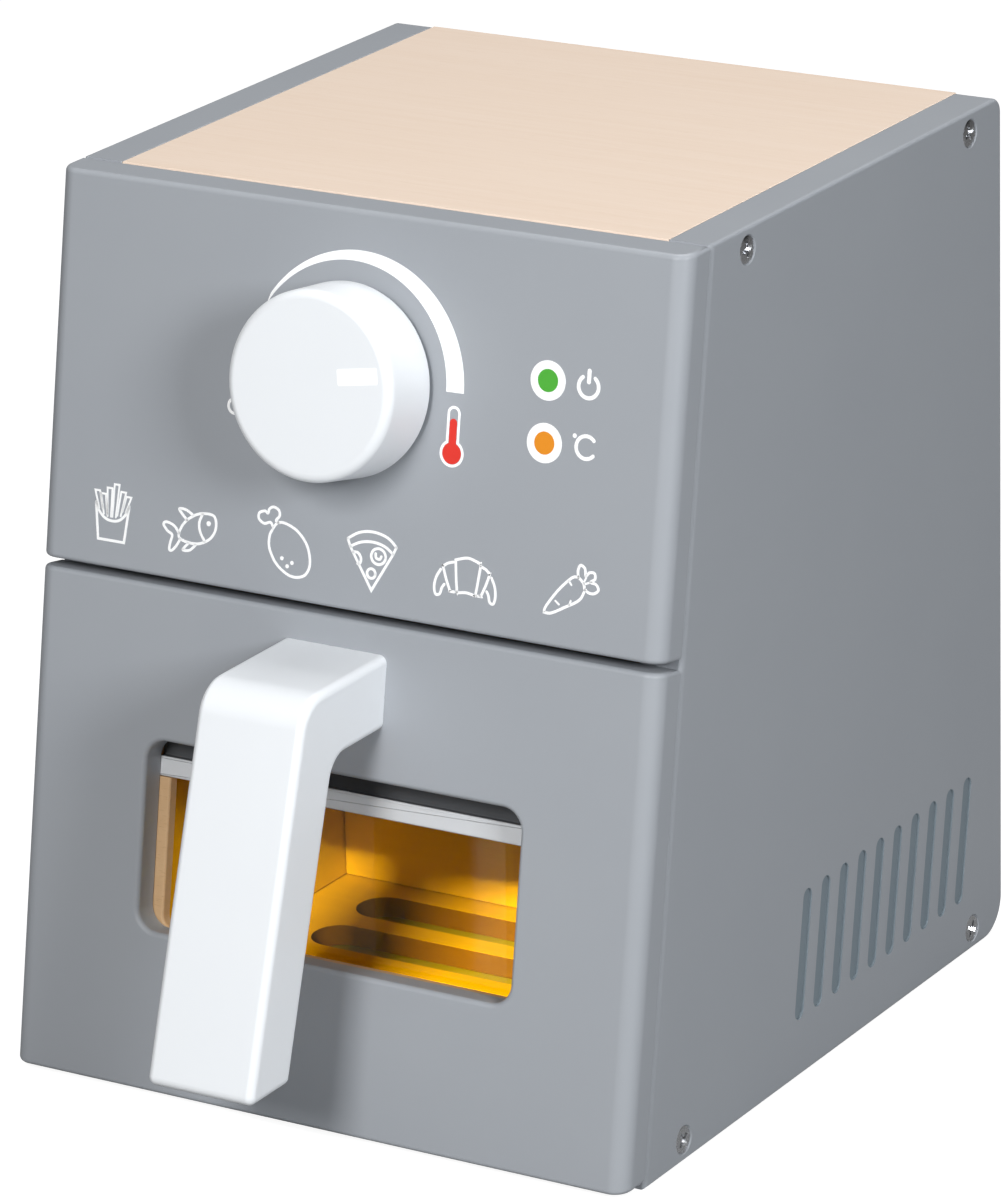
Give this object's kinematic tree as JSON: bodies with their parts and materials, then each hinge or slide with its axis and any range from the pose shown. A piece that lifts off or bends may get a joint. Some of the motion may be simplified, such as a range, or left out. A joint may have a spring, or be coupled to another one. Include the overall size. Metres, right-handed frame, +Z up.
{
  "type": "toy air fryer",
  "caption": "Wooden pretend-play air fryer with a slanted lacquered front, a dial that turns and a pull-out drawer with an amber window.",
  "frame": {"origin": "centre of the whole object's box on the surface that it stands on", "axes": "+Z up, -Y out of the slanted front towards the user, +X to the user's right when they face the front"},
  "size_m": [0.1736, 0.2378, 0.22],
  "materials": {
    "grey_lacquer": "satin lacquer on board",
    "white_lacquer": "satin lacquer on wood",
    "pale_grey_lacquer": "satin lacquer on wood",
    "pale_veneer": "clear matt varnish",
    "plywood": "clear matt varnish",
    "beech": "plain",
    "amber_acrylic": "clear tinted, polished",
    "zinc_steel": "bright zinc",
    "grey_felt": "pressed felt"
  },
  "bodies": {
    "case": {"side_board_left": "grey_lacquer", "side_board_right": "grey_lacquer", "top_board": "pale_veneer", "base_board": "grey_lacquer", "back_board": "grey_lacquer", "inner_shelf": "plywood", "drawer_guide_left": "beech", "drawer_guide_right": "beech", "upper_panel": "grey_lacquer", "dial_washer": "grey_felt", "casing_screw_left_top_front": "zinc_steel", "casing_screw_left_top_rear": "zinc_steel", "casing_screw_left_base_front": "zinc_steel", "casing_screw_left_base_rear": "zinc_steel", "casing_screw_right_top_front": "zinc_steel", "casing_screw_right_top_rear": "zinc_steel", "casing_screw_right_base_front": "zinc_steel", "casing_screw_right_base_rear": "zinc_steel", "panel_dowel_left_low": "beech", "panel_dowel_left_high": "beech", "panel_dowel_right_low": "beech", "panel_dowel_right_high": "beech"},
    "dial": {"dial_knob": "white_lacquer", "dial_axle": "beech", "dial_collar": "beech", "dial_screw": "zinc_steel"},
    "drawer": {"drawer_front": "grey_lacquer", "window_frame": "beech", "window_rail": "pale_grey_lacquer", "window_pane": "amber_acrylic", "drawer_side_left": "plywood", "drawer_side_right": "plywood", "drawer_back": "plywood", "drawer_floor": "plywood", "handle": "white_lacquer", "pane_screw_left_low": "zinc_steel", "pane_screw_left_high": "zinc_steel", "pane_screw_right_low": "zinc_steel", "pane_screw_right_high": "zinc_steel", "front_dowel_left_low": "beech", "front_dowel_left_high": "beech", "front_dowel_right_low": "beech", "front_dowel_right_high": "beech", "back_dowel_left_low": "beech", "back_dowel_left_high": "beech", "back_dowel_right_low": "beech", "back_dowel_right_high": "beech", "floor_screw_left_front": "zinc_steel", "floor_screw_left_rear": "zinc_steel", "floor_screw_right_front": "zinc_steel", "floor_screw_right_rear": "zinc_steel", "handle_screw_left": "zinc_steel", "handle_screw_right": "zinc_steel"}
  },
  "joints": [
    {"name": "drawer_slide", "type": "slide", "parent": "case", "child": "drawer", "axis": [0, -1, 0], "range_m": [0, 0.08]},
    {"name": "dial_turn", "type": "hinge", "parent": "case", "child": "dial", "pos_m": [-0.0015, -0.04316, 0.18068], "axis": [0, -0.9848, 0.1736], "continuous": true}
  ]
}
